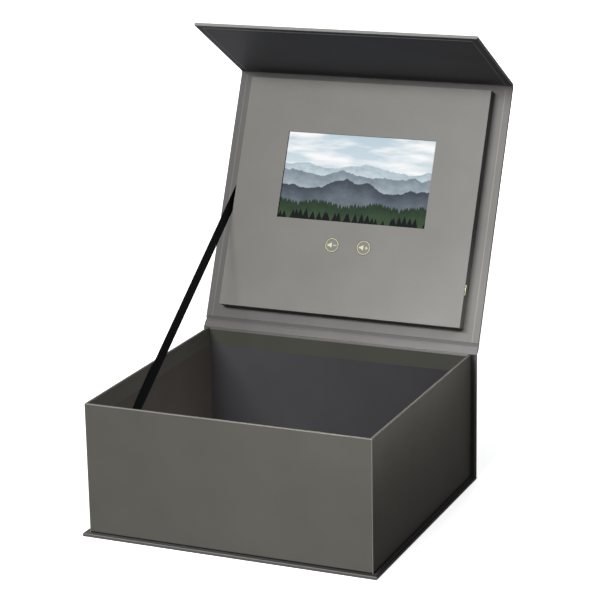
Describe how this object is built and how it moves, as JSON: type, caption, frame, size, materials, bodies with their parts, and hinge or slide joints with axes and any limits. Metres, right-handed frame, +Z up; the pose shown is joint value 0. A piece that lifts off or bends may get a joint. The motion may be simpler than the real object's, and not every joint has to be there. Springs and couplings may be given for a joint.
{
  "type": "lcd video brochure",
  "caption": "Rigid paper presentation box with a hinged lid and folding magnetic flap, a small liquid crystal display panel in the lid, two volume buttons and a ribbon stay.",
  "frame": {"origin": "middle of the base's flat underside", "axes": "+X to the right seen from the front, +Y to the spine at the back, +Z up"},
  "size_m": [0.285, 0.3684, 0.4277],
  "materials": {
    "greyboard": "compressed recycled greyboard, raw",
    "pewter_paper": "pearlescent bronze-grey covering paper, fine metallic sheen",
    "dark_paper": "dark charcoal uncoated lining paper",
    "black_ribbon": "black satin ribbon",
    "foam": "black closed-cell foam",
    "tape": "thin black double-sided tape",
    "plated_magnet": "nickel-plated neodymium disc",
    "pressed_steel": "thin pressed steel",
    "display_glass": "laminated liquid crystal glass with polariser",
    "white_plastic": "white moulded backlight frame",
    "circuit_board": "green solder mask over glass-epoxy",
    "black_epoxy": "black moulded component bodies",
    "battery_pouch": "silver laminated battery pouch",
    "amber_film": "amber polyimide film",
    "speaker_plastic": "black moulded speaker basket",
    "speaker_paper": "pressed paper cone",
    "wire_jacket": "thin insulated wire",
    "gold_foil": "pale gold hot-stamped foil"
  },
  "bodies": {
    "box": {"base_board": "greyboard", "base_cover": "pewter_paper", "base_lining": "dark_paper", "spine_board": "greyboard", "spine_cover": "pewter_paper", "spine_lining": "dark_paper", "tray_bottom_board": "greyboard", "tray_front_wall": "greyboard", "tray_back_wall": "greyboard", "tray_left_wall": "greyboard", "tray_right_wall": "greyboard", "tray_wrap": "pewter_paper", "tray_lining": "dark_paper", "tray_magnets": "plated_magnet", "trigger_magnet": "plated_magnet", "lid_hinge_paper": "pewter_paper", "lid_hinge_liner": "pewter_paper", "ribbon_stay": "black_ribbon"},
    "lid": {"lid_board": "greyboard", "lid_cover": "pewter_paper", "lid_liner": "pewter_paper", "panel_frame_top": "greyboard", "panel_frame_bottom": "greyboard", "panel_frame_left": "greyboard", "panel_frame_right": "greyboard", "panel_face_board": "greyboard", "panel_wrap": "pewter_paper", "display_tape": "tape", "display_bezel": "pressed_steel", "display_glass": "display_glass", "display_backlight": "white_plastic", "display_pads": "foam", "display_flex": "amber_film", "driver_board": "circuit_board", "board_pads": "foam", "board_parts": "black_epoxy", "flex_connector": "white_plastic", "usb_socket": "pressed_steel", "hall_sensor": "black_epoxy", "button_board": "circuit_board", "button_pad": "foam", "volume_down_switch": "black_epoxy", "volume_up_switch": "black_epoxy", "battery": "battery_pouch", "speaker": "speaker_plastic", "speaker_cone": "speaker_paper", "battery_leads": "wire_jacket", "speaker_leads": "wire_jacket", "button_leads": "wire_jacket", "flap_hinge_paper": "pewter_paper", "flap_hinge_liner": "pewter_paper"},
    "flap": {"flap_board": "greyboard", "flap_cover": "pewter_paper", "flap_liner": "pewter_paper", "flap_magnets": "plated_magnet"},
    "volume_down_button": {"volume_down_disc": "pewter_paper", "volume_down_plunger": "black_epoxy"},
    "volume_up_button": {"volume_up_disc": "pewter_paper", "volume_up_plunger": "black_epoxy"}
  },
  "joints": [
    {"name": "lid_hinge", "type": "hinge", "parent": "box", "child": "lid", "pos_m": [0, 0.1315, 0.1258], "axis": [1, 0, 0], "range_deg": [0, 113.4], "deforming": ["lid_hinge_paper", "lid_hinge_liner", "ribbon_stay"]},
    {"name": "flap_hinge", "type": "hinge", "parent": "lid", "child": "flap", "pos_m": [0, 0.23436, 0.3635], "axis": [1, 0, 0], "range_deg": [-83.1, 6.9], "deforming": ["flap_hinge_paper", "flap_hinge_liner"]},
    {"name": "volume_down_press", "type": "slide", "parent": "lid", "child": "volume_down_button", "axis": [0, 0.9178, -0.3971], "range_m": [0, 0.0004], "stiffness_N_per_m": 3000},
    {"name": "volume_up_press", "type": "slide", "parent": "lid", "child": "volume_up_button", "axis": [0, 0.9178, -0.3971], "range_m": [0, 0.0004], "stiffness_N_per_m": 3000}
  ]
}
